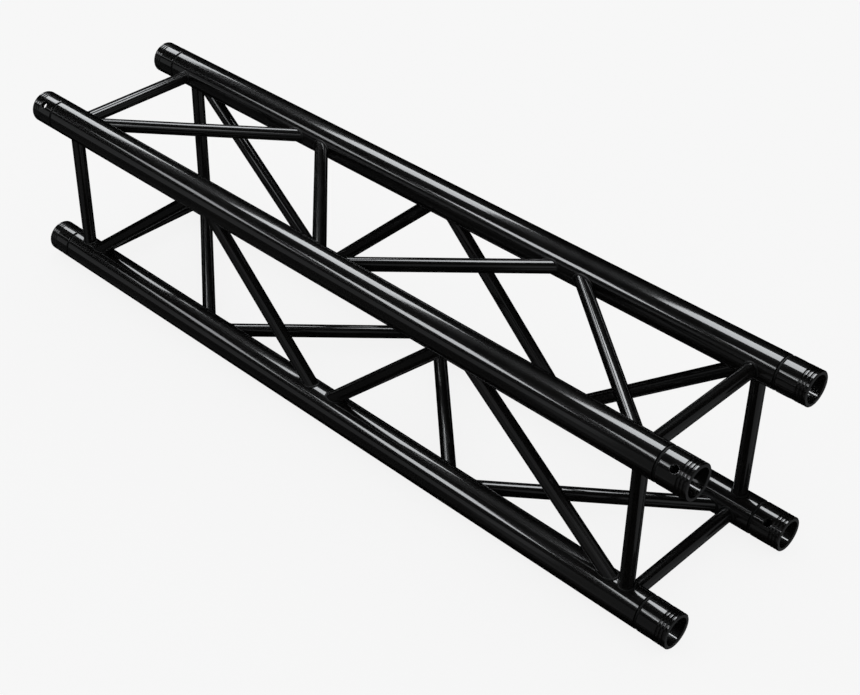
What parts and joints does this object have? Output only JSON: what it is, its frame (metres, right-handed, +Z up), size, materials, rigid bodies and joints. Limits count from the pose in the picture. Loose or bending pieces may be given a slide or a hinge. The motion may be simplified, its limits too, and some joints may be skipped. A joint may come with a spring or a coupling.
{
  "type": "lighting truss section",
  "caption": "Straight square box truss section of welded black tube, with zigzag bracing on every face and a conical pinned socket at each chord end.",
  "frame": {"origin": "middle of the section, on the line midway between the four chords", "axes": "+X along the truss to its right-hand end, +Y to the back face, +Z up to the top face"},
  "size_m": [1.25, 0.29, 0.29],
  "materials": {
    "chord_coating": "gloss",
    "brace_coating": "gloss",
    "coupler_coating": "gloss",
    "weld_coating": "satin"
  },
  "bodies": {
    "root": {"chord_front_top": "chord_coating", "coupler_front_top_left": "coupler_coating", "coupler_front_top_right": "coupler_coating", "chord_back_top": "chord_coating", "coupler_back_top_left": "coupler_coating", "coupler_back_top_right": "coupler_coating", "chord_front_bottom": "chord_coating", "coupler_front_bottom_left": "coupler_coating", "coupler_front_bottom_right": "coupler_coating", "chord_back_bottom": "chord_coating", "coupler_back_bottom_left": "coupler_coating", "coupler_back_bottom_right": "coupler_coating", "front_strut_left": "brace_coating", "front_strut_right": "brace_coating", "front_diagonal_1": "brace_coating", "front_diagonal_2": "brace_coating", "front_diagonal_3": "brace_coating", "front_diagonal_4": "brace_coating", "front_brace_welds": "weld_coating", "top_strut_left": "brace_coating", "top_strut_right": "brace_coating", "top_diagonal_1": "brace_coating", "top_diagonal_2": "brace_coating", "top_diagonal_3": "brace_coating", "top_diagonal_4": "brace_coating", "top_brace_welds": "weld_coating", "back_strut_left": "brace_coating", "back_strut_right": "brace_coating", "back_diagonal_1": "brace_coating", "back_diagonal_2": "brace_coating", "back_diagonal_3": "brace_coating", "back_diagonal_4": "brace_coating", "back_brace_welds": "weld_coating", "bottom_strut_left": "brace_coating", "bottom_strut_right": "brace_coating", "bottom_diagonal_1": "brace_coating", "bottom_diagonal_2": "brace_coating", "bottom_diagonal_3": "brace_coating", "bottom_diagonal_4": "brace_coating", "bottom_brace_welds": "weld_coating", "coupler_welds_left": "weld_coating", "coupler_welds_right": "weld_coating"}
  },
  "joints": []
}
